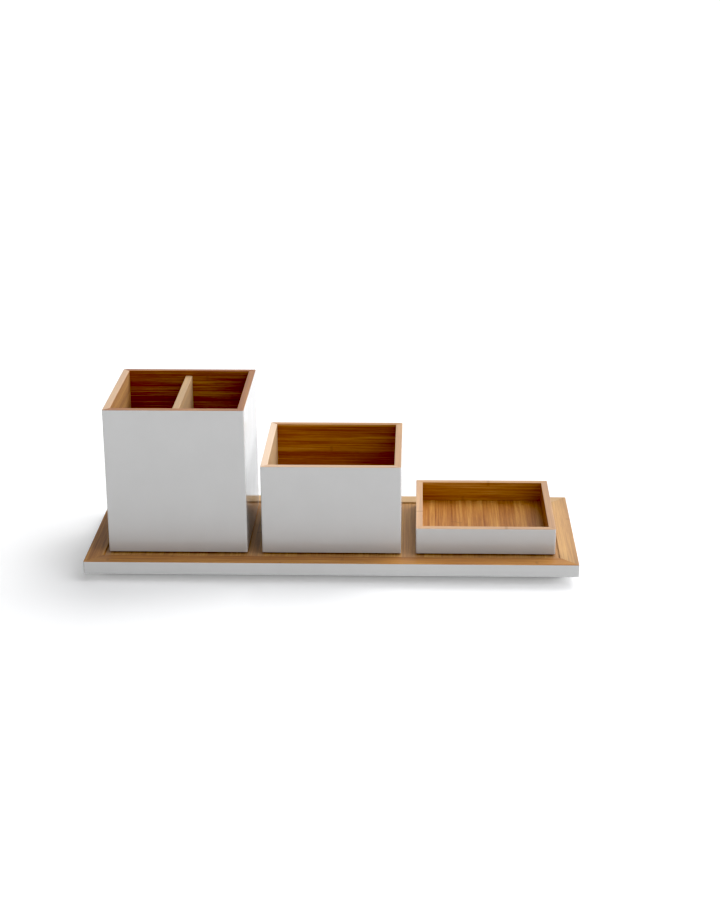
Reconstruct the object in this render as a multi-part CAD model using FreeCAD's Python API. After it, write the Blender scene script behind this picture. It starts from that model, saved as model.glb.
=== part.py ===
import FreeCAD, Part
import os

# Desk organizer: a long low tray with three loose square boxes standing in its recess.
# The boards are bamboo. The outsides of the boxes and the tray's edge are lacquered white, the plinth grey.
# Millimetres, +Z up. The origin is on the table, under the middle of the tray.
# +X runs along the row, from the pen box to the shallow box, and +Y runs to the back.

# Boxes
box_side = 85.0             # outside, both ways: all three boxes are square in plan
wall_thickness = 4.2
bottom_thickness = 4.0
bottom_rabbet = 2.0         # how far the bottom board is let into the foot of each wall
bottom_clearance = 0.1      # between the edge of the bottom board and its rabbet
corner_radius = 0.8         # upright outer corners
rim_easing = 0.35           # sanded edges of the rim
box_heights = {"pen_box": 91.3, "middle_box": 55.8, "shallow_box": 16.5}

# Divider of the pen box, from front to back in its middle
divider_thickness = 4.2
divider_drop = 3.0          # how far its top edge lies below the rim
divider_groove = 1.0        # how far it is let into the front and back walls
divider_clearance = 0.05    # between the divider and its grooves, each way
divider_easing = 0.3

# Felt pads under the boxes
pad_diameter = 10.0
pad_thickness = 1.0
pad_inset = 11.0            # from the box's outside to the middle of the pad

# Row of boxes in the recess of the tray
box_gap = 9.0               # between neighbouring boxes
end_play = 2.5              # from the outer boxes to the left and right rails
front_play = 5.3            # from the boxes to the front rail
back_play = 2.7             # from the boxes to the back rail

# Tray
rail_width = 11.0
rail_height = 8.0
rail_easing = 0.5           # outer edges of the rails
rail_inner_easing = 0.3     # edge round the recess
recess_depth = 1.0          # how far the floor panel lies below the rails
tongue_thickness = 2.0
tongue_length = 3.0
groove_clearance = 0.1      # round the tongue in its groove
panel_clearance = 0.15      # round the floor panel, for the wood to move
plinth_height = 4.3
plinth_inset = 10.2         # from the tray's outside to the plinth's
plinth_easing = 0.4
foot_diameter = 12.0
foot_thickness = 1.0
foot_inset = 12.0           # from the plinth's outside to the middle of the foot

# Worked out from the sizes above
box_count = len(box_heights)
tray_length = 2 * (rail_width + end_play) + box_count * box_side + (box_count - 1) * box_gap
tray_depth = 2 * rail_width + front_play + box_side + back_play
recess_length = tray_length - 2 * rail_width
recess_width = tray_depth - 2 * rail_width
plinth_bottom = foot_thickness
rail_bottom = plinth_bottom + plinth_height
rail_top = rail_bottom + rail_height
floor_top = rail_top - recess_depth
box_bottom = floor_top + pad_thickness
row_middle_y = -tray_depth / 2 + rail_width + front_play + box_side / 2
first_box_x = -tray_length / 2 + rail_width + end_play + box_side / 2


def block(length, depth, bottom, top):
    # A plain board, centred on the Z axis.
    corner = FreeCAD.Vector(-length / 2, -depth / 2, bottom)
    return Part.makeBox(length, depth, top - bottom, corner)


def edges_at(shape, height):
    # The edges that lie flat at one height.
    near = 1e-4
    flat = []
    for edge in shape.Edges:
        low, high = edge.BoundBox.ZMin, edge.BoundBox.ZMax
        if abs(low - height) < near and abs(high - height) < near:
            flat.append(edge)
    return flat


def rounded_block(length, depth, bottom, top, radius):
    # A board whose four upright corners are rounded.
    board = block(length, depth, bottom, top)
    upright = [edge for edge in board.Edges if edge.BoundBox.ZLength > (top - bottom) / 2]
    return board.makeFillet(radius, upright)


def mitred_quarters(ring, length, depth, reach):
    # Saws a rectangular ring into four pieces along the lines at 45 degrees from its corners.
    x, y = length / 2, depth / 2
    outlines = {
        "front": [(-x, -y), (x, -y), (x - reach, reach - y), (reach - x, reach - y)],
        "back": [(x, y), (-x, y), (reach - x, y - reach), (x - reach, y - reach)],
        "left": [(-x, y), (-x, -y), (reach - x, reach - y), (reach - x, y - reach)],
        "right": [(x, -y), (x, y), (x - reach, y - reach), (x - reach, reach - y)],
    }
    low = ring.BoundBox.ZMin
    pieces = {}
    for side, outline in outlines.items():
        corners = [FreeCAD.Vector(px, py, low) for px, py in outline + outline[:1]]
        face = Part.Face(Part.makePolygon(corners))
        wedge = face.extrude(FreeCAD.Vector(0, 0, ring.BoundBox.ZLength))
        pieces[side] = ring.common(wedge)
    return pieces


def corner_discs(length, depth, inset, diameter, bottom, top):
    # Four round pads, one near each corner.
    discs = []
    for x in (inset - length / 2, length / 2 - inset):
        for y in (inset - depth / 2, depth / 2 - inset):
            disc = Part.makeCylinder(diameter / 2, top - bottom, FreeCAD.Vector(x, y, bottom))
            discs.append(disc)
    return Part.makeCompound(discs)


def tray_frame():
    # Four rails round the recess, with a groove inside for the tongue of the floor panel.
    ring = rounded_block(tray_length, tray_depth, rail_bottom, rail_top, corner_radius)
    outer_edges = edges_at(ring, rail_bottom) + edges_at(ring, rail_top)
    ring = ring.makeChamfer(rail_easing, outer_edges)
    ring = ring.cut(block(recess_length, recess_width, rail_bottom, rail_top))
    around = rail_inner_easing / 2
    inner_edges = []
    for edge in edges_at(ring, rail_top):
        box = edge.BoundBox
        inside_x = max(abs(box.XMin), abs(box.XMax)) < recess_length / 2 + around
        inside_y = max(abs(box.YMin), abs(box.YMax)) < recess_width / 2 + around
        if inside_x and inside_y:
            inner_edges.append(edge)
    ring = ring.makeChamfer(rail_inner_easing, inner_edges)
    reach = 2 * (tongue_length + groove_clearance)
    low, high = tongue_heights()
    groove = block(recess_length + reach, recess_width + reach,
                   low - groove_clearance, high + groove_clearance)
    return mitred_quarters(ring.cut(groove), tray_length, tray_depth, rail_width)


def tongue_heights():
    # The tongue runs round the middle of the panel's edge.
    middle = (rail_bottom + floor_top) / 2
    return middle - tongue_thickness / 2, middle + tongue_thickness / 2


def tray_floor_panel():
    # The panel fills the recess and rests on the plinth, and its tongue holds the rails.
    panel = block(recess_length - 2 * panel_clearance, recess_width - 2 * panel_clearance,
                  rail_bottom, floor_top)
    low, high = tongue_heights()
    tongue = block(recess_length + 2 * tongue_length, recess_width + 2 * tongue_length, low, high)
    return panel.fuse(tongue).removeSplitter()


def tray_plinth():
    # The board under the tray, set well in, which makes the tray's edge float above the table.
    length = tray_length - 2 * plinth_inset
    depth = tray_depth - 2 * plinth_inset
    board = rounded_block(length, depth, plinth_bottom, rail_bottom, corner_radius)
    return board.makeChamfer(plinth_easing, edges_at(board, plinth_bottom))


def tray_feet():
    # Four thin rubber feet glued under the plinth.
    length = tray_length - 2 * plinth_inset
    depth = tray_depth - 2 * plinth_inset
    return corner_discs(length, depth, foot_inset, foot_diameter, 0, foot_thickness)


def divider_block(height, play):
    # The divider, or with a play the room that it takes in the walls.
    length = box_side - 2 * wall_thickness + 2 * divider_groove + 2 * play
    low = bottom_thickness - play
    return block(divider_thickness + 2 * play, length, low, height - divider_drop + play)


def box_walls(height, divided):
    # Four mitred walls with eased rims, a rabbet for the bottom board and, in the pen box,
    # a groove in the front and back walls that ends below the rim.
    inside = box_side - 2 * wall_thickness
    ring = rounded_block(box_side, box_side, 0, height, corner_radius)
    ring = ring.cut(block(inside, inside, 0, height))
    ring = ring.makeChamfer(rim_easing, edges_at(ring, height))
    let_in = inside + 2 * (bottom_rabbet + bottom_clearance)
    ring = ring.cut(block(let_in, let_in, 0, bottom_thickness))
    if divided:
        ring = ring.cut(divider_block(height, divider_clearance))
    return mitred_quarters(ring, box_side, box_side, wall_thickness)


def box_bottom_board():
    # The bottom board, flush with the foot of the walls.
    side = box_side - 2 * wall_thickness + 2 * bottom_rabbet
    return block(side, side, 0, bottom_thickness)


def box_divider(height):
    # The divider stands on the bottom board, with its top edges eased.
    board = divider_block(height, 0)
    long_edges = []
    for edge in edges_at(board, height - divider_drop):
        if edge.BoundBox.YLength > box_side / 2:
            long_edges.append(edge)
    return board.makeChamfer(divider_easing, long_edges)


def box_pieces(height, divided):
    # Every piece of one box, standing at the origin with the foot of its walls at Z = 0.
    pieces = {side + "_wall": wall for side, wall in box_walls(height, divided).items()}
    pieces["bottom"] = box_bottom_board()
    if divided:
        pieces["divider"] = box_divider(height)
    pieces["felt_pads"] = corner_discs(box_side, box_side, pad_inset, pad_diameter,
                                       -pad_thickness, 0)
    return pieces


def organizer_nodes():
    # Every piece of the organizer in its place, by name.
    nodes = {"tray_" + side + "_rail": rail for side, rail in tray_frame().items()}
    nodes["tray_floor_panel"] = tray_floor_panel()
    nodes["tray_plinth"] = tray_plinth()
    nodes["tray_feet"] = tray_feet()
    for index, (name, height) in enumerate(box_heights.items()):
        x = first_box_x + index * (box_side + box_gap)
        place = FreeCAD.Vector(x, row_middle_y, box_bottom)
        for piece_name, piece in box_pieces(height, name == "pen_box").items():
            nodes[name + "_" + piece_name] = piece.translated(place)
    return nodes


os.makedirs("parts", exist_ok=True)
for node_name, shape in organizer_nodes().items():
    shape.exportStep("parts/" + node_name + ".step")
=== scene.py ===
import math

import bmesh
import bpy
from mathutils import Matrix, Vector


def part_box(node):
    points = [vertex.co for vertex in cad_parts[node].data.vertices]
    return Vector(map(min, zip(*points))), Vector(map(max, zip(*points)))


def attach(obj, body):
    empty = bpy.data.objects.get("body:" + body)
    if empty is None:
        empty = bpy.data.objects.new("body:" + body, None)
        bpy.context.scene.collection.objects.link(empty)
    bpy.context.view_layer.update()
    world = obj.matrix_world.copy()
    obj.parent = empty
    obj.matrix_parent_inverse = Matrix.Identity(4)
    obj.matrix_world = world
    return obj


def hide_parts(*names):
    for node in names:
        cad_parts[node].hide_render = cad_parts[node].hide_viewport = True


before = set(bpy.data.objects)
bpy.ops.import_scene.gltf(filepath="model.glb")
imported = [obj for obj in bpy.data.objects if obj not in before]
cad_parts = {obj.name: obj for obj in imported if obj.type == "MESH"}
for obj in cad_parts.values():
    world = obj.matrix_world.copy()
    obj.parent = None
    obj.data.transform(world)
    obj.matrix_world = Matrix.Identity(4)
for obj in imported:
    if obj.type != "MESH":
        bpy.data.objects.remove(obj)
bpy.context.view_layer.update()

# A desk organizer: a long low bamboo tray, white round its edge, and three loose bamboo boxes
# with white outsides standing in its recess. Everything is in metres, +X along the row, +Z up.

mm = 0.001
scene = bpy.context.scene
boxNames = ["pen_box", "middle_box", "shallow_box"]
sides = ["front", "back", "left", "right"]


def linearColour(code):      # "#rrggbb" in sRGB to the linear values that nodes want
    toeEnd, toeSlope, offset, power = 0.04045, 12.92, 0.055, 2.4
    channels = [int(code[i:i + 2], 16) / 255 for i in (1, 3, 5)]
    linear = [c / toeSlope if c <= toeEnd else ((c + offset) / (1 + offset)) ** power for c in channels]
    return (*linear, 1.0)


def add(tree, kind, inputs=None, **settings):      # one node, its settings, and what goes into it
    node = tree.nodes.new(kind)
    for name, value in settings.items():
        setattr(node, name, value)
    for key, value in (inputs or {}).items():
        socket = node.inputs[key]
        if isinstance(value, bpy.types.NodeSocket):
            tree.links.new(value, socket)
        else:
            socket.default_value = value
    return node


def newMaterial(name):
    material = bpy.data.materials.new(name)
    material.use_nodes = True
    material.node_tree.nodes.clear()
    return material, material.node_tree


def nodeSpan(*names):      # lowest and highest corner of some CAD nodes together
    corners = [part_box(name) for name in names]
    low = Vector([min(c[0][i] for c in corners) for i in range(3)])
    high = Vector([max(c[1][i] for c in corners) for i in range(3)])
    return low, high


def camel(words):
    first, *rest = words.split("_")
    return first + "".join(word.capitalize() for word in rest)


bamboo = {
    "stripWidth": 3.4,          # mm, the laminated strips
    "stripContrast": 0.30,      # how far strips differ in tone, 0 to 1
    "stripShift": 500.0,        # mm, how far apart along the cane the strips were cut, at most
    "bandWidth": 7.0,           # mm, slow changes over several strips
    "bandAspect": 0.12,         # a band's width over its length
    "bandContrast": 0.45,
    "streakWidth": 0.9,         # mm, light and dark streaks inside a strip
    "streakLength": 45.0,       # times their width
    "streakContrast": 1.0,
    "fibreWidth": 0.35,         # mm, drawn a little coarser than real fibres so that they show
    "fibreShorter": 3.0,        # how many times shorter fibres are than streaks, width for width
    "fibreContrast": 0.42,
    "fibreRelief": 0.04,        # mm
    "knuckleSpacing": 260.0,    # mm between the growth rings of a cane
    "knuckleWidth": 1.4,        # mm
    "knuckleFade": (2.0, 0.4),  # where it starts and where it is full, in half widths
    "knuckleDepth": 0.32,       # how much darker a knuckle is, 0 to 1
    "knuckleRelief": 0.5,       # beside the fibres'
    "glueLine": 0.07,           # mm
    "glueDepth": 0.5,           # how much of the glue's colour shows, 0 to 1
    "dark": "#915822",
    "middle": "#b67b3a",
    "light": "#d29e54",
    "darkAt": 0.15,             # tones where the dark and the light colour are reached
    "lightAt": 0.85,
    "sanded": "#e8cdb2",        # painted sheen: the paler colour given to the rim tops for the light they catch
    "sandedShare": 0.50,        # how much of that painted sheen the rim of a honey-coloured board gets
    "unsandedAt": 0.6,          # boards with this value or more get no painted sheen on their rims
    "pale": "#e6d2ab",          # painted light: the paler colour of boards given a value below 0
    "toastAndShadeBrown": "#84391b",       # the brown that steaming turns some of the boards, also put on as painted shade
    "toastBite": 0.6,           # how much more it browns the dark streaks, 0 to 1
    "biteTones": (0.25, 0.75),  # tones between which that fades
    "knuckle": "#7a4c1f",
    "glue": "#8a5c2a",
    "roughness": 0.34,
    "glossSpread": 0.08,        # fibres make the shine uneven by this much either way
    "haze": 0.05,               # pale haze at low angles, from the finest sanded fibres
}


def bambooStrips(name, sanded):
    # Laminated bamboo, planed, sanded and given a thin clear satin lacquer. It reads as narrow
    # strips of slightly different honey tones, with fine straight fibres, a few darker knuckles
    # and a soft pale shine at low angles. The boards carry their own coordinates in mm, x along
    # the grain and y across the strips, and a value that is partly how far each was steamed brown
    # and partly painted light and shade.
    b = bamboo
    material, t = newMaterial(name)
    grain = add(t, "ShaderNodeAttribute", attribute_name="grain", attribute_type="GEOMETRY")
    parts = add(t, "ShaderNodeSeparateXYZ", {0: grain.outputs["Vector"]})
    along, across, through = parts.outputs
    steamAndLightInput = add(t, "ShaderNodeAttribute", attribute_name="steamAndPaintedLight", attribute_type="GEOMETRY")
    steamAndPaintedLight = steamAndLightInput.outputs["Fac"]

    stripPlace = add(t, "ShaderNodeMath", {0: across, 1: b["stripWidth"]}, operation="DIVIDE").outputs[0]
    stripNumber = add(t, "ShaderNodeMath", {0: stripPlace}, operation="FLOOR").outputs[0]
    inStrip = add(t, "ShaderNodeMath", {0: stripPlace}, operation="FRACT").outputs[0]
    stripRandom = add(t, "ShaderNodeTexWhiteNoise", {"W": stripNumber}, noise_dimensions="1D")
    randomParts = add(t, "ShaderNodeSeparateColor", {0: stripRandom.outputs["Color"]})

    # long streaks, different in each strip
    shifted = add(t, "ShaderNodeMath", {0: randomParts.outputs[1], 1: b["stripShift"], 2: along},
                  operation="MULTIPLY_ADD").outputs[0]
    slowAlong = add(t, "ShaderNodeMath", {0: shifted, 1: b["streakLength"]}, operation="DIVIDE").outputs[0]
    streakPlace = add(t, "ShaderNodeCombineXYZ", {0: slowAlong, 1: across, 2: through})
    streaks = add(t, "ShaderNodeTexNoise", {"Vector": streakPlace.outputs[0], "Scale": 1 / b["streakWidth"],
                                            "Detail": 2.0, "Roughness": 0.6})
    bandPlace = add(t, "ShaderNodeVectorMath", {0: grain.outputs["Vector"], 1: (b["bandAspect"], 1.0, 1.0)},
                    operation="MULTIPLY")
    bands = add(t, "ShaderNodeTexNoise", {"Vector": bandPlace.outputs[0], "Scale": 1 / b["bandWidth"],
                                          "Detail": 1.0})
    fibrePlace = add(t, "ShaderNodeVectorMath", {0: streakPlace.outputs[0], 1: (b["fibreShorter"], 1.0, 1.0)},
                     operation="MULTIPLY")
    fibres = add(t, "ShaderNodeTexNoise", {"Vector": fibrePlace.outputs[0], "Scale": 1 / b["fibreWidth"],
                                           "Detail": 3.0, "Roughness": 0.7})

    # tone, round its middle: the strip's own, then bands, streaks and fibres
    middleTone = 0.5
    tone = middleTone
    patterns = ((randomParts, "stripContrast"), (bands, "bandContrast"),
                (streaks, "streakContrast"), (fibres, "fibreContrast"))
    for pattern, contrast in patterns:
        centred = add(t, "ShaderNodeMath", {0: pattern.outputs[0], 1: middleTone},
                      operation="SUBTRACT").outputs[0]
        tone = add(t, "ShaderNodeMath", {0: centred, 1: b[contrast], 2: tone},
                   operation="MULTIPLY_ADD").outputs[0]
    ramp = add(t, "ShaderNodeValToRGB", {0: tone})
    stops = ramp.color_ramp.elements
    stops[0].position = b["darkAt"]
    stops[0].color = linearColour(b["dark"])
    stops[1].position = b["lightAt"]
    stops[1].color = linearColour(b["light"])
    middle = stops.new(middleTone)
    middle.color = linearColour(b["middle"])
    # steam browns the dark streaks most; where a board's value is painted shade, this brown is painted shade
    # too
    darkTone, lightTone = b["biteTones"]
    bite = add(t, "ShaderNodeMapRange", {"Value": tone, "From Min": darkTone, "From Max": lightTone,
                                         "To Min": 1 + b["toastBite"], "To Max": 1 - b["toastBite"]})
    toastAndShade = add(t, "ShaderNodeMath", {0: steamAndPaintedLight, 1: bite.outputs[0]}, operation="MULTIPLY").outputs[0]
    brownedAndShaded = add(t, "ShaderNodeMix", {0: toastAndShade, 6: ramp.outputs[0], 7: linearColour(b["toastAndShadeBrown"])},
                  data_type="RGBA")
    # paler below 0 as painted light, and on the rim tops as painted sheen
    paintedLightFrom, paintedLightTo, paintedLightColour = 0.0, -1.0, b["pale"]
    if sanded:
        paintedLightFrom = b["unsandedAt"]
        paintedLightTo = paintedLightFrom * (1 - 1 / b["sandedShare"])
        paintedLightColour = b["sanded"]
    share = add(t, "ShaderNodeMapRange", {"Value": steamAndPaintedLight, "From Min": paintedLightFrom, "From Max": paintedLightTo})
    board = add(t, "ShaderNodeMix", {0: share.outputs[0], 6: brownedAndShaded.outputs[2],
                                     7: linearColour(paintedLightColour)}, data_type="RGBA")

    # knuckles: a dark band across each strip at every joint of the cane
    cane = add(t, "ShaderNodeMath", {0: shifted, 1: b["knuckleSpacing"]}, operation="DIVIDE").outputs[0]
    inCane = add(t, "ShaderNodeMath", {0: cane}, operation="FRACT").outputs[0]
    fromKnuckle = add(t, "ShaderNodeMath", {0: inCane, 1: 0.5}, operation="SUBTRACT").outputs[0]
    fromKnuckle = add(t, "ShaderNodeMath", {0: fromKnuckle}, operation="ABSOLUTE").outputs[0]
    halfWidth = b["knuckleWidth"] / b["knuckleSpacing"] / 2
    starts, full = b["knuckleFade"]
    knuckle = add(t, "ShaderNodeMapRange", {"Value": fromKnuckle, "From Min": halfWidth * starts,
                                            "From Max": halfWidth * full,
                                            "To Min": 0.0, "To Max": b["knuckleDepth"]},
                  interpolation_type="SMOOTHSTEP")
    withKnuckles = add(t, "ShaderNodeMix", {0: knuckle.outputs[0], 6: board.outputs[2],
                                            7: linearColour(b["knuckle"])}, data_type="RGBA")

    # hairline of glue between strips
    fromEdge = add(t, "ShaderNodeMath", {0: inStrip, 1: 0.5}, operation="SUBTRACT").outputs[0]
    fromEdge = add(t, "ShaderNodeMath", {0: fromEdge}, operation="ABSOLUTE").outputs[0]
    edge = 0.5 - b["glueLine"] / b["stripWidth"]
    glue = add(t, "ShaderNodeMapRange", {"Value": fromEdge, "From Min": edge, "From Max": 0.5,
                                         "To Min": 0.0, "To Max": b["glueDepth"]})
    colour = add(t, "ShaderNodeMix", {0: glue.outputs[0], 6: withKnuckles.outputs[2],
                                      7: linearColour(b["glue"])}, data_type="RGBA")

    height = add(t, "ShaderNodeMath", {0: knuckle.outputs[0], 1: b["knuckleRelief"], 2: fibres.outputs[0]},
                 operation="MULTIPLY_ADD").outputs[0]
    bump = add(t, "ShaderNodeBump", {"Height": height, "Strength": 0.3, "Distance": b["fibreRelief"] * mm})
    gloss = add(t, "ShaderNodeMapRange", {"Value": fibres.outputs[0],
                                          "To Min": b["roughness"] - b["glossSpread"],
                                          "To Max": b["roughness"] + b["glossSpread"]})
    shader = add(t, "ShaderNodeBsdfPrincipled", {
        "Base Color": colour.outputs[2], "Roughness": gloss.outputs[0], "Normal": bump.outputs[0],
        "IOR": 1.45, "Specular IOR Level": 0.3, "Sheen Weight": b["haze"], "Sheen Roughness": 0.45})
    add(t, "ShaderNodeOutputMaterial", {0: shader.outputs[0]})
    return material


lacquer = {
    "white": ("#cdcdcc", "#c7c7c6"),      # the film where it is thin and where it is thick
    # the plinth's grey is painted shade, darkening the thin line under the tray's overhang
    "grey": ("#6c6c6b", "#656564"),
    "roughness": 0.14,
    "glossSpread": 0.03,    # the clouds make the shine uneven by this much either way
    "orangePeel": 1.6,      # mm between the low hills that spraying leaves
    "peelHeight": 0.02,     # mm
    "cloud": 18.0,          # mm, slow changes in the thickness of the film
}


def sprayedLacquer(tint):
    # Lacquer sprayed on sanded board, nearly glossy. The film is even but not flat: faint orange
    # peel breaks up its reflections, which get sharp and strong at low angles.
    p = lacquer
    thin, thick = p[tint]
    material, t = newMaterial(tint + "SprayedLacquer")
    place = add(t, "ShaderNodeTexCoord").outputs["Object"]
    clouds = add(t, "ShaderNodeTexNoise", {"Vector": place, "Scale": 1 / (p["cloud"] * mm), "Detail": 3.0})
    colour = add(t, "ShaderNodeMix", {0: clouds.outputs[0], 6: linearColour(thick),
                                      7: linearColour(thin)}, data_type="RGBA")
    peel = add(t, "ShaderNodeTexNoise", {"Vector": place, "Scale": 1 / (p["orangePeel"] * mm), "Detail": 1.5})
    bump = add(t, "ShaderNodeBump", {"Height": peel.outputs[0], "Strength": 0.25,
                                     "Distance": p["peelHeight"] * mm})
    gloss = add(t, "ShaderNodeMapRange", {"Value": clouds.outputs[0],
                                          "To Min": p["roughness"] - p["glossSpread"],
                                          "To Max": p["roughness"] + p["glossSpread"]})
    shader = add(t, "ShaderNodeBsdfPrincipled", {"Base Color": colour.outputs[2], "IOR": 1.52,
                                                 "Roughness": gloss.outputs[0],
                                                 "Normal": bump.outputs[0]})
    add(t, "ShaderNodeOutputMaterial", {0: shader.outputs[0]})
    return material


felt = {
    "dark": "#4b4a48",
    "light": "#6b6966",
    "fibre": 0.25,              # mm
    "tuft": 1.2,                # mm
    "fibreShare": 0.6,          # beside the tufts
    "spread": (0.5, 1.1),       # where the mix of both is dark and where it is light
    "nap": 0.12,                # mm
}


def pressedFelt():
    # Pressed wool felt, die-cut. Matt and fuzzy, with fibres lying every way.
    material, t = newMaterial("greyPressedFelt")
    place = add(t, "ShaderNodeTexCoord").outputs["Object"]
    fibres = add(t, "ShaderNodeTexNoise", {"Vector": place, "Scale": 1 / (felt["fibre"] * mm), "Detail": 4.0,
                                           "Distortion": 1.5})
    tufts = add(t, "ShaderNodeTexNoise", {"Vector": place, "Scale": 1 / (felt["tuft"] * mm), "Detail": 2.0})
    mixed = add(t, "ShaderNodeMath", {0: fibres.outputs[0], 1: felt["fibreShare"], 2: tufts.outputs[0]},
                operation="MULTIPLY_ADD").outputs[0]
    darkAt, lightAt = felt["spread"]
    spread = add(t, "ShaderNodeMapRange", {"Value": mixed, "From Min": darkAt, "From Max": lightAt})
    colour = add(t, "ShaderNodeMix", {0: spread.outputs[0], 6: linearColour(felt["dark"]),
                                      7: linearColour(felt["light"])}, data_type="RGBA")
    bump = add(t, "ShaderNodeBump", {"Height": mixed, "Strength": 0.8, "Distance": felt["nap"] * mm})
    shader = add(t, "ShaderNodeBsdfPrincipled", {"Base Color": colour.outputs[2], "Roughness": 0.95,
                                                 "Sheen Weight": 0.4, "Sheen Roughness": 0.5,
                                                 "Normal": bump.outputs[0]})
    add(t, "ShaderNodeOutputMaterial", {0: shader.outputs[0]})
    return material


rubber = {"dark": "#262626", "light": "#323131", "grit": 0.4, "gritHeight": 0.04}      # sizes in mm


def mouldedRubber():
    # Moulded rubber, matt, with the fine grit of the mould on its faces.
    material, t = newMaterial("blackMouldedRubber")
    place = add(t, "ShaderNodeTexCoord").outputs["Object"]
    grit = add(t, "ShaderNodeTexNoise", {"Vector": place, "Scale": 1 / (rubber["grit"] * mm), "Detail": 2.0})
    colour = add(t, "ShaderNodeMix", {0: grit.outputs[0], 6: linearColour(rubber["dark"]),
                                      7: linearColour(rubber["light"])}, data_type="RGBA")
    bump = add(t, "ShaderNodeBump", {"Height": grit.outputs[0], "Strength": 0.4,
                                     "Distance": rubber["gritHeight"] * mm})
    shader = add(t, "ShaderNodeBsdfPrincipled", {"Base Color": colour.outputs[2], "Roughness": 0.75,
                                                 "Normal": bump.outputs[0]})
    add(t, "ShaderNodeOutputMaterial", {0: shader.outputs[0]})
    return material


bambooMaterial = bambooStrips("bambooSatinLacquered", sanded=False)
# the rim tops' bamboo, paler as painted sheen
rimSheenMaterial = bambooStrips("bambooPaintedRimSheen", sanded=True)
lacquerMaterial = sprayedLacquer("white")
# grey as painted shade for the plinth, set back in the dark under the tray's edge
plinthShadeMaterial = sprayedLacquer("grey")
feltMaterial = pressedFelt()
rubberMaterial = mouldedRubber()
print("materials ready")


sharpFrom = {"easing": 50, "shading": 40}      # degrees between faces where an edge counts as sharp
closeness = {"weld": 0.001 * mm, "cut": 1e-7, "clean": 1e-6}      # metres; points this near are one


def evaluated(piece):      # the mesh with the piece's modifiers done
    bpy.context.view_layer.update()
    return bpy.data.meshes.new_from_object(piece.evaluated_get(bpy.context.evaluated_depsgraph_get()))


def newTree(name, sockets):      # a tree for a modifier, and the sockets that give its named inputs
    tree = bpy.data.node_groups.new(name, "GeometryNodeTree")
    for label, kind in sockets:
        tree.interface.new_socket(name=label, in_out="INPUT", socket_type="NodeSocket" + kind)
    tree.interface.new_socket(name="Geometry", in_out="OUTPUT", socket_type="NodeSocketGeometry")
    return tree, tree.nodes.new("NodeGroupInput").outputs


def grow(name, tree, values):      # runs a tree with these inputs and returns the plain mesh
    holder = bpy.data.objects.new(name, bpy.data.meshes.new(name))
    scene.collection.objects.link(holder)
    modifier = holder.modifiers.new(tree.name, "NODES")
    modifier.node_group = tree
    for item in tree.interface.items_tree:
        if item.in_out == "INPUT":
            modifier[item.identifier] = values[item.name]
    mesh = evaluated(holder)
    bpy.data.objects.remove(holder)
    return mesh


def frameTree():
    # A rectangular frame of boards: a block with rounded upright corners, less its inside and
    # less a seat let into the inside of the walls for the bottom board or the panel's tongue.
    tree, given = newTree("boardFrame", [
        ("Length", "Float"), ("Depth", "Float"), ("Height", "Float"), ("Wall", "Float"),
        ("Corner Radius", "Float"), ("Seat Depth", "Float"), ("Seat Low", "Float"), ("Seat High", "Float"),
        ("Material", "Material")])
    outline = add(tree, "GeometryNodeCurvePrimitiveQuadrilateral", {"Width": given["Length"],
                                                                    "Height": given["Depth"]})
    rounded = add(tree, "GeometryNodeFilletCurve", {"Curve": outline.outputs[0], "Count": 6,
                                                    "Radius": given["Corner Radius"]}, mode="POLY")
    face = add(tree, "GeometryNodeFillCurve", {0: rounded.outputs[0]}, mode="NGONS")
    raised = add(tree, "GeometryNodeExtrudeMesh", {"Mesh": face.outputs[0], "Offset Scale": given["Height"],
                                                   "Individual": False})
    under = add(tree, "GeometryNodeFlipFaces", {0: face.outputs[0]})
    both = add(tree, "GeometryNodeJoinGeometry")
    tree.links.new(raised.outputs[0], both.inputs[0])
    tree.links.new(under.outputs[0], both.inputs[0])
    block = add(tree, "GeometryNodeMergeByDistance", {"Geometry": both.outputs[0],
                                                      "Distance": closeness["weld"]})

    bothSides = 2.0
    overrun = 0.5      # how far the inside's cutter runs past both ends, times the height
    cutters = []
    for label, low, high in (("inside", None, None), ("seat", given["Seat Low"], given["Seat High"])):
        margin = add(tree, "ShaderNodeMath", {0: given["Wall"], 1: -bothSides},
                     operation="MULTIPLY").outputs[0]
        if label == "seat":
            margin = add(tree, "ShaderNodeMath", {0: given["Seat Depth"], 1: bothSides, 2: margin},
                         operation="MULTIPLY_ADD").outputs[0]
        else:
            low = add(tree, "ShaderNodeMath", {0: given["Height"], 1: -overrun},
                      operation="MULTIPLY").outputs[0]
            high = add(tree, "ShaderNodeMath", {0: given["Height"], 1: 1 + overrun},
                       operation="MULTIPLY").outputs[0]
        width = add(tree, "ShaderNodeMath", {0: given["Length"], 1: margin}, operation="ADD").outputs[0]
        depth = add(tree, "ShaderNodeMath", {0: given["Depth"], 1: margin}, operation="ADD").outputs[0]
        tall = add(tree, "ShaderNodeMath", {0: high, 1: low}, operation="SUBTRACT").outputs[0]
        middle = add(tree, "ShaderNodeMath", {0: tall, 1: 0.5, 2: low}, operation="MULTIPLY_ADD").outputs[0]
        size = add(tree, "ShaderNodeCombineXYZ", {0: width, 1: depth, 2: tall})
        place = add(tree, "ShaderNodeCombineXYZ", {2: middle})
        cube = add(tree, "GeometryNodeMeshCube", {"Size": size.outputs[0]})
        cutters.append(add(tree, "GeometryNodeTransform", {"Geometry": cube.outputs[0],
                                                           "Translation": place.outputs[0]}))
    hollow = add(tree, "GeometryNodeMeshBoolean", {"Mesh 1": block.outputs[0]}, operation="DIFFERENCE")
    for cutter in cutters:
        tree.links.new(cutter.outputs[0], hollow.inputs["Mesh 2"])
    real = add(tree, "GeometryNodeRealizeInstances", {0: hollow.outputs[0]})
    coloured = add(tree, "GeometryNodeSetMaterial", {"Geometry": real.outputs[0],
                                                     "Material": given["Material"]})
    add(tree, "NodeGroupOutput", {0: coloured.outputs[0]})
    return tree


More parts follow.
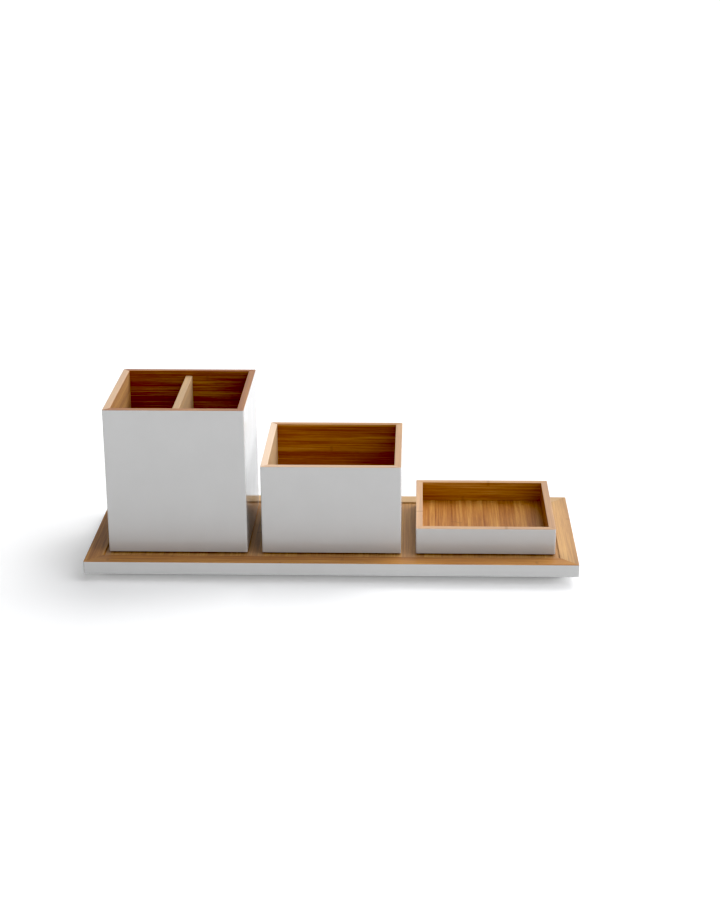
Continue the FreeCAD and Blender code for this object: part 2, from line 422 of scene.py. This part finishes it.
def padTree():
    # Four round pads at the corners of a rectangle, each a disc with its rims turned over.
    tree, given = newTree("cornerPads", [
        ("Spread X", "Float"), ("Spread Y", "Float"), ("Diameter", "Float"), ("Thickness", "Float"),
        ("Rim", "Float"), ("Place", "Vector"), ("Material", "Material")])
    corners = add(tree, "GeometryNodeMeshGrid", {"Size X": given["Spread X"], "Size Y": given["Spread Y"],
                                                 "Vertices X": 2, "Vertices Y": 2})
    radius = add(tree, "ShaderNodeMath", {0: given["Diameter"], 1: 0.5}, operation="MULTIPLY").outputs[0]
    half = add(tree, "ShaderNodeMath", {0: given["Thickness"], 1: 0.5}, operation="MULTIPLY").outputs[0]
    disc = add(tree, "GeometryNodeMeshCylinder", {"Vertices": 40, "Side Segments": 6, "Fill Segments": 1,
                                                  "Radius": radius, "Depth": given["Thickness"]},
               fill_type="NGON")
    # pull the end rings in, so the rims are round
    where = add(tree, "GeometryNodeInputPosition")
    parts = add(tree, "ShaderNodeSeparateXYZ", {0: where.outputs[0]})
    level = add(tree, "ShaderNodeMath", {0: parts.outputs[2]}, operation="ABSOLUTE").outputs[0]
    fromEnd = add(tree, "ShaderNodeMath", {0: half, 1: level}, operation="SUBTRACT").outputs[0]
    share = add(tree, "ShaderNodeMath", {0: fromEnd, 1: given["Rim"]}, operation="DIVIDE",
                use_clamp=True).outputs[0]
    curve = add(tree, "ShaderNodeMath", {0: 1.0, 1: share}, operation="SUBTRACT").outputs[0]
    curve = add(tree, "ShaderNodeMath", {0: curve, 1: 2.0}, operation="POWER").outputs[0]
    shrink = add(tree, "ShaderNodeMath", {0: curve, 1: given["Rim"]}, operation="MULTIPLY").outputs[0]
    shrink = add(tree, "ShaderNodeMath", {0: shrink, 1: radius}, operation="DIVIDE").outputs[0]
    scale = add(tree, "ShaderNodeMath", {0: 1.0, 1: shrink}, operation="SUBTRACT").outputs[0]
    flat = add(tree, "ShaderNodeCombineXYZ", {0: scale, 1: scale, 2: 1.0})
    moved = add(tree, "ShaderNodeVectorMath", {0: where.outputs[0], 1: flat.outputs[0]}, operation="MULTIPLY")
    shaped = add(tree, "GeometryNodeSetPosition", {"Geometry": disc.outputs[0], "Position": moved.outputs[0]})
    placed = add(tree, "GeometryNodeInstanceOnPoints", {"Points": corners.outputs[0],
                                                        "Instance": shaped.outputs[0]})
    there = add(tree, "GeometryNodeTransform", {"Geometry": placed.outputs[0], "Translation": given["Place"]})
    real = add(tree, "GeometryNodeRealizeInstances", {0: there.outputs[0]})
    coloured = add(tree, "GeometryNodeSetMaterial", {"Geometry": real.outputs[0],
                                                     "Material": given["Material"]})
    add(tree, "NodeGroupOutput", {0: coloured.outputs[0]})
    return tree


boardFrame = frameTree()
cornerPads = padTree()
print("geometry node trees ready")


def easeEdges(mesh, width, steps=3):      # rounds every sharp edge, as sandpaper does
    piece = bpy.data.objects.new("easing", mesh)
    scene.collection.objects.link(piece)
    bevel = piece.modifiers.new("easing", "BEVEL")
    bevel.width = width
    bevel.segments = steps
    bevel.limit_method = "ANGLE"
    bevel.angle_limit = math.radians(sharpFrom["easing"])
    bevel.use_clamp_overlap = True
    eased = evaluated(piece)
    bpy.data.objects.remove(piece)
    return eased


def sawQuarter(mesh, length, depth, side, gap):      # one mitred board out of the frame
    form = bmesh.new()
    form.from_mesh(mesh)
    out = {"front": Vector((0, -1, 0)), "back": Vector((0, 1, 0)),
           "left": Vector((-1, 0, 0)), "right": Vector((1, 0, 0))}[side]
    run = Vector((-out.y, out.x, 0))
    cuts = [(Vector((0, 0, 0)), -out)]
    halfRun = (length if side in ("front", "back") else depth) / 2
    halfOut = (depth if side in ("front", "back") else length) / 2
    for end in (-1, 1):
        corner = out * halfOut + run * end * (halfRun - gap / 2 * math.sqrt(2))
        cuts.append((corner, (run * end - out).normalized()))
    for point, away in cuts:
        cut = bmesh.ops.bisect_plane(form, geom=form.verts[:] + form.edges[:] + form.faces[:],
                                     plane_co=point, plane_no=away, clear_outer=True,
                                     dist=closeness["cut"])
        edges = [e for e in cut["geom_cut"] if isinstance(e, bmesh.types.BMEdge) and e.is_boundary]
        if edges:
            bmesh.ops.holes_fill(form, edges=edges, sides=0)
    bmesh.ops.remove_doubles(form, verts=form.verts, dist=closeness["clean"])
    bmesh.ops.recalc_face_normals(form, faces=form.faces)
    quarter = bpy.data.meshes.new(side)
    form.to_mesh(quarter)
    form.free()
    return quarter


# Each board is cut from another place in the stock, so many mm on along its x, y and z for every
# board number. A box's walls and its bottom are numbered on by "nextBox" from box to box.
nextBoard = (137.0, 98.9, 11.0)
boardNumbers = {"walls": 1, "bottom": 6, "nextBox": 10, "divider": 41, "rails": 50, "panel": 60}

# How far the boards of a body were steamed, from 0, honey, to 1, brown all through. The boards
# that differ are named on their own, and those values are painted light and shade: the back walls
# and the shallow box's right wall are browner as painted shade on insides turned from the light,
# and values below 0, paler than honey, are painted light on the lit left walls and the divider,
# on the middle box's front rim, on the tray's back and right rails and on its floor panel.
steamingAndPaintedLight = {
    "pen_box": 0.42, "pen_box_back_wall": 0.72, "pen_box_left_wall": -0.15, "pen_box_divider": -0.45,
    "middle_box": 0.10, "middle_box_back_wall": 0.38, "middle_box_left_wall": -0.60,
    "middle_box_front_wall": -0.15,
    "shallow_box": 0.08, "shallow_box_back_wall": 0.24, "shallow_box_right_wall": 0.15,
    "tray": 0.0, "tray_back_rail": -0.40, "tray_right_rail": -0.22, "tray_floor_panel": -0.15,
}


def setGrain(mesh, along, across, boardNumber, node, body):
    through = along.cross(across)
    shift = Vector(nextBoard) * boardNumber
    places = []
    for vertex in mesh.vertices:
        place = Vector((vertex.co.dot(along), vertex.co.dot(across), vertex.co.dot(through))) / mm
        places.extend(place + shift)
    mesh.attributes.new("grain", "FLOAT_VECTOR", "POINT").data.foreach_set("vector", places)
    # each board's value, partly steaming and partly painted light and shade
    steamAndLightValues = [steamingAndPaintedLight.get(node, steamingAndPaintedLight[body])] * len(mesh.vertices)
    mesh.attributes.new("steamAndPaintedLight", "FLOAT", "POINT").data.foreach_set("value", steamAndLightValues)


def finish(mesh, name, node, body):      # smooth where round, then tied to the frame
    mesh.name = name
    piece = bpy.data.objects.new(name, mesh)
    scene.collection.objects.link(piece)
    for polygon in mesh.polygons:
        polygon.use_smooth = True
    mesh.set_sharp_from_angle(angle=math.radians(sharpFrom["shading"]))
    weighted = piece.modifiers.new("flatFaces", "WEIGHTED_NORMAL")
    weighted.keep_sharp = True
    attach(piece, body)
    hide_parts(node)


def loftedBoard(low, high, levels, radius, steps=4):
    # A board as a stack of rounded rectangles. Each level is (height above low, inset from the edge).
    leastRadius = 0.02 * mm
    corners = ((high.x, high.y, 0), (low.x, high.y, 90), (low.x, low.y, 180), (high.x, low.y, 270))
    form = bmesh.new()
    rings = []
    for height, inset in levels:
        r = max(radius - inset, leastRadius)
        ring = []
        for cornerX, cornerY, start in corners:
            centreX = cornerX - math.copysign(inset + r, cornerX - (low.x + high.x) / 2)
            centreY = cornerY - math.copysign(inset + r, cornerY - (low.y + high.y) / 2)
            for step in range(steps + 1):
                turn = math.radians(start + 90 * step / steps)
                ring.append(form.verts.new((centreX + r * math.cos(turn), centreY + r * math.sin(turn),
                                            low.z + height)))
        rings.append(ring)
    for lower, upper in zip(rings, rings[1:]):
        for i in range(len(lower)):
            j = (i + 1) % len(lower)
            form.faces.new((lower[i], lower[j], upper[j], upper[i]))
    form.faces.new(list(reversed(rings[0])))
    form.faces.new(rings[-1])
    bmesh.ops.recalc_face_normals(form, faces=form.faces)
    mesh = bpy.data.meshes.new("board")
    form.to_mesh(mesh)
    form.free()
    return mesh


def roundedLevels(height, easing, steps=3):      # levels of a plain board with round arrises
    rise = []
    for step in range(steps + 1):
        turn = math.radians(90 * step / steps)
        rise.append((easing * (1 - math.cos(turn)), easing * (1 - math.sin(turn))))
    return rise + [(height - up, inset) for up, inset in reversed(rise)]


paint = {"depth": 1.0 * mm, "level": 0.6}      # how far in a face can lie, and how much it can tilt


def paintOutside(mesh, low, high, underside=False):
    # White on the outside faces, and below where asked. A rim at the top gets the bamboo with a
    # paler colour as painted sheen, and everything inside is plain bamboo.
    bare, white, rim = range(3)
    inward, level = paint["depth"], paint["level"]
    mesh.materials.clear()
    mesh.materials.append(bambooMaterial)
    mesh.materials.append(lacquerMaterial)
    mesh.materials.append(rimSheenMaterial)
    for polygon in mesh.polygons:
        c, n = polygon.center, polygon.normal
        outside = min(c.x - low.x, high.x - c.x, c.y - low.y, high.y - c.y) < inward
        outwards = n.x * (c.x - (low.x + high.x) / 2) > 0 or n.y * (c.y - (low.y + high.y) / 2) > 0
        facesOut = abs(n.z) < level and outwards
        facesDown = underside and n.z < -level
        onRim = not underside and n.z > level and c.z > high.z - inward
        polygon.material_index = white if (outside and facesOut) or facesDown else rim if onRim else bare


boxWalls = {
    "cornerRadius": 0.8 * mm,
    "easing": 0.3 * mm,
    "mitreGap": 0.03 * mm,
    "seatPlay": 0.1 * mm,           # round the bottom board
    "seatStart": -0.5 * mm,         # the seat is open below
}


def makeWalls(name, boardNumber):
    walls = [name + "_" + side + "_wall" for side in sides]
    low, high = nodeSpan(*walls)
    frontLow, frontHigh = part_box(walls[0])
    bottomLow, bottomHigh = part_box(name + "_bottom")
    wall = frontHigh[1] - frontLow[1]
    seatDepth = wall - (bottomLow[1] - low.y) + boxWalls["seatPlay"]
    size = high - low
    ring = grow(name, boardFrame, {
        "Length": size.x, "Depth": size.y, "Height": size.z, "Wall": wall,
        "Corner Radius": boxWalls["cornerRadius"], "Seat Depth": seatDepth,
        "Seat Low": boxWalls["seatStart"], "Seat High": bottomHigh[2] - low.z,
        "Material": bambooMaterial})
    ring = easeEdges(ring, boxWalls["easing"])
    middle = Vector(((low.x + high.x) / 2, (low.y + high.y) / 2, low.z))
    for number, side in enumerate(sides):
        board = sawQuarter(ring, size.x, size.y, side, boxWalls["mitreGap"])
        board.transform(Matrix.Translation(middle))
        paintOutside(board, low, high)
        along = Vector((1, 0, 0)) if side in ("front", "back") else Vector((0, 1, 0))
        node = name + "_" + side + "_wall"
        setGrain(board, along, Vector((0, 0, 1)), boardNumber + number, node, name)
        finish(board, camel(node), node, name)


boxBottom = {"easing": 0.15 * mm, "cornerRadius": 0.2 * mm}


def makeBottom(name, boardNumber):
    low, high = nodeSpan(name + "_bottom")
    levels = roundedLevels(high.z - low.z, boxBottom["easing"])
    board = loftedBoard(low, high, levels, boxBottom["cornerRadius"])
    board.materials.append(bambooMaterial)
    setGrain(board, Vector((0, 1, 0)), Vector((1, 0, 0)), boardNumber, name + "_bottom", name)
    finish(board, camel(name + "_bottom"), name + "_bottom", name)


pads = {"rim": 0.25 * mm, "felt": 10 * mm, "rubber": 12 * mm}      # diameters of the felts and feet


def makePads(node, body, material, slotName):
    low, high = nodeSpan(node)
    diameter = pads[slotName]
    middle = (low + high) / 2
    mesh = grow(node, cornerPads, {
        "Spread X": high.x - low.x - diameter, "Spread Y": high.y - low.y - diameter,
        "Diameter": diameter, "Thickness": high.z - low.z, "Rim": pads["rim"],
        "Place": middle, "Material": material})
    finish(mesh, camel(node), node, body)


for index, name in enumerate(boxNames):
    firstBoard = boardNumbers["nextBox"] * index
    makeWalls(name, firstBoard + boardNumbers["walls"])
    makeBottom(name, firstBoard + boardNumbers["bottom"])
    makePads(name + "_felt_pads", name, feltMaterial, "felt")
    print(name, "built")


divider = {"easing": 0.3 * mm, "endGap": 0.02 * mm}


def makeDivider():
    # One upright board between the front and back walls, a little lower than the rim.
    low, high = nodeSpan("pen_box_divider")
    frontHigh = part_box("pen_box_front_wall")[1]
    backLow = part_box("pen_box_back_wall")[0]
    low.y = frontHigh[1] + divider["endGap"]
    high.y = backLow[1] - divider["endGap"]
    size = high - low
    form = bmesh.new()
    place = Matrix.Translation((low + high) / 2) @ Matrix.Diagonal((*size, 1))
    bmesh.ops.create_cube(form, size=1, matrix=place)
    mesh = bpy.data.meshes.new("divider")
    form.to_mesh(mesh)
    form.free()
    board = easeEdges(mesh, divider["easing"])
    board.materials.append(bambooMaterial)
    setGrain(board, Vector((0, 1, 0)), Vector((0, 0, 1)), boardNumbers["divider"],
             "pen_box_divider", "pen_box")
    finish(board, "penBoxDivider", "pen_box_divider", "pen_box")


makeDivider()
print("divider built")


trayRails = {"cornerRadius": 0.8 * mm, "easing": 0.45 * mm, "mitreGap": 0.06 * mm, "groovePlay": 0.1 * mm}


def makeRails():
    rails = ["tray_" + side + "_rail" for side in sides]
    low, high = nodeSpan(*rails)
    frontLow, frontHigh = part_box(rails[0])
    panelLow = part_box("tray_floor_panel")[0]
    width = frontHigh[1] - frontLow[1]
    grooveDepth = width - (panelLow[1] - low.y) + trayRails["groovePlay"]
    groove = tonguePlace()
    size = high - low
    ring = grow("tray", boardFrame, {
        "Length": size.x, "Depth": size.y, "Height": size.z, "Wall": width,
        "Corner Radius": trayRails["cornerRadius"], "Seat Depth": grooveDepth,
        "Seat Low": groove[0] - low.z, "Seat High": groove[1] - low.z, "Material": bambooMaterial})
    ring = easeEdges(ring, trayRails["easing"])
    middle = Vector(((low.x + high.x) / 2, (low.y + high.y) / 2, low.z))
    for number, side in enumerate(sides):
        board = sawQuarter(ring, size.x, size.y, side, trayRails["mitreGap"])
        board.transform(Matrix.Translation(middle))
        paintOutside(board, low, high, underside=True)
        lengthwise = side in ("front", "back")
        along = Vector((1, 0, 0)) if lengthwise else Vector((0, 1, 0))
        across = Vector((0, 1, 0)) if lengthwise else Vector((1, 0, 0))
        node = "tray_" + side + "_rail"
        setGrain(board, along, across, boardNumbers["rails"] + number, node, "tray")
        finish(board, camel(node), node, "tray")


trayPanel = {
    "tongue": 2.0 * mm,
    "tongueReach": 3.0 * mm,
    "gap": 0.02 * mm,
    "easing": 0.1 * mm,
    "cornerRadius": 0.2 * mm,
}


def tonguePlace():      # lowest and highest Z of the tongue, in the middle of the panel's edge
    low, high = nodeSpan("tray_floor_panel")
    middle = (low.z + high.z) / 2
    return middle - trayPanel["tongue"] / 2, middle + trayPanel["tongue"] / 2


def makePanel():
    low, high = nodeSpan("tray_floor_panel")
    reach = trayPanel["tongueReach"] + trayPanel["gap"]
    tongueLow, tongueHigh = (z - low.z for z in tonguePlace())
    body = [(height, inset + reach) for height, inset in roundedLevels(high.z - low.z, trayPanel["easing"])]
    half = len(body) // 2
    tongue = [(tongueLow, reach), (tongueLow, 0), (tongueHigh, 0), (tongueHigh, reach)]
    board = loftedBoard(low, high, body[:half] + tongue + body[half:], trayPanel["cornerRadius"])
    board.materials.append(bambooMaterial)
    setGrain(board, Vector((0, 1, 0)), Vector((1, 0, 0)), boardNumbers["panel"], "tray_floor_panel", "tray")
    finish(board, "trayFloorPanel", "tray_floor_panel", "tray")


trayPlinth = {"easing": 0.5 * mm, "cornerRadius": 0.8 * mm}


def makePlinth():
    low, high = nodeSpan("tray_plinth")
    levels = roundedLevels(high.z - low.z, trayPlinth["easing"])
    board = loftedBoard(low, high, levels, trayPlinth["cornerRadius"])
    board.materials.append(plinthShadeMaterial)
    finish(board, "trayPlinth", "tray_plinth", "tray")


makeRails()
makePanel()
makePlinth()
makePads("tray_feet", "tray", rubberMaterial, "rubber")
print("tray built")


studio = {
    "floorSize": 80.0,
    "floor": "#f4f4f4",
    "floorGlow": 0.165,      # the table top is lit from below too
    "black": 0.014,          # light that comes out black, and light that comes out white
    "white": 0.8,
}

# Soft light from round the table: the direction it comes from, how many degrees from its middle it
# starts to fall off and ends, its colour and its strength.
softboxes = {
    "backdrop": ((0.0, 1.0, 0.35), 15, 60, "#ffffff", 0.41),
    "rightHigh": ((1.0, 0.2, 0.9), 15, 60, "#fbfcff", 0.9),
    "rightPanel": ((1.0, 0.1, 0.35), 20, 80, "#fbfcff", 0.95),
    "frontFill": ((0.0, -1.0, 0.35), 20, 80, "#ffffff", 0.36),
}
keyLamp = {"from": (0.45, 0.75, 1.0), "angle": 40.0, "strength": 1.10}


def makeStudio():
    mesh = bpy.data.meshes.new("floor")
    half = studio["floorSize"] / 2
    corners = [(-half, -half, 0), (half, -half, 0), (half, half, 0), (-half, half, 0)]
    mesh.from_pydata(corners, [], [(0, 1, 2, 3)])
    floor = bpy.data.objects.new("floor", mesh)
    scene.collection.objects.link(floor)
    material, t = newMaterial("palePaper")
    # thick matt paper, which hardly mirrors the object
    shader = add(t, "ShaderNodeBsdfPrincipled", {
        "Base Color": linearColour(studio["floor"]), "Roughness": 0.9, "Specular IOR Level": 0.1,
        "Emission Color": (1, 1, 1, 1), "Emission Strength": studio["floorGlow"]})
    add(t, "ShaderNodeOutputMaterial", {0: shader.outputs[0]})
    mesh.materials.append(material)

    world = bpy.data.worlds.new("studio")
    scene.world = world
    world.use_nodes = True
    t = world.node_tree
    t.nodes.clear()
    direction = add(t, "ShaderNodeTexCoord").outputs["Generated"]
    light = (0, 0, 0)
    for source, full, ends, colour, strength in softboxes.values():
        towards = add(t, "ShaderNodeVectorMath", {0: direction, 1: Vector(source).normalized()},
                      operation="DOT_PRODUCT").outputs["Value"]
        angle = add(t, "ShaderNodeMath", {0: towards}, operation="ARCCOSINE").outputs[0]
        share = add(t, "ShaderNodeMapRange", {"Value": angle, "From Min": math.radians(full),
                                              "From Max": math.radians(ends), "To Min": 1.0, "To Max": 0.0},
                    interpolation_type="SMOOTHSTEP").outputs[0]
        glow = Vector(linearColour(colour)[:3]) * strength
        light = add(t, "ShaderNodeVectorMath", {0: share, 1: glow, 2: light},
                    operation="MULTIPLY_ADD").outputs[0]
    sky = add(t, "ShaderNodeBackground", {0: light})
    add(t, "ShaderNodeOutputWorld", {0: sky.outputs[0]})

    key = bpy.data.lights.new("key", "SUN")
    key.energy = keyLamp["strength"]
    key.angle = math.radians(keyLamp["angle"])
    lamp = bpy.data.objects.new("key", key)
    lamp.rotation_euler = Vector(keyLamp["from"]).to_track_quat("Z", "Y").to_euler()
    scene.collection.objects.link(lamp)

    # developed a little hard: the darkest tones go to black and the table top to white
    view = scene.view_settings
    view.view_transform = "Standard"
    view.use_curve_mapping = True
    view.curve_mapping.black_level = (studio["black"],) * 3
    view.curve_mapping.white_level = (studio["white"],) * 3
    view.curve_mapping.update()


cameraPlace = {
    "location": (0.0530, -1.0581, 0.4379),
    "down": 19.37,      # degrees
    "turn": 1.98,
    "roll": -0.35,
    "lens": 72.0,       # mm
    "sensor": 36,       # mm
}


def makeCamera():
    p = cameraPlace
    data = bpy.data.cameras.new("camera")
    data.sensor_width = p["sensor"]
    data.lens = p["lens"]
    camera = bpy.data.objects.new("camera", data)
    turn = Matrix.Identity(4)
    for degrees, axis in ((p["turn"], "Z"), (90 - p["down"], "X"), (p["roll"], "Z")):
        turn = turn @ Matrix.Rotation(math.radians(degrees), 4, axis)
    camera.matrix_world = Matrix.Translation(p["location"]) @ turn
    scene.collection.objects.link(camera)
    scene.camera = camera


makeStudio()
makeCamera()
print("studio ready")
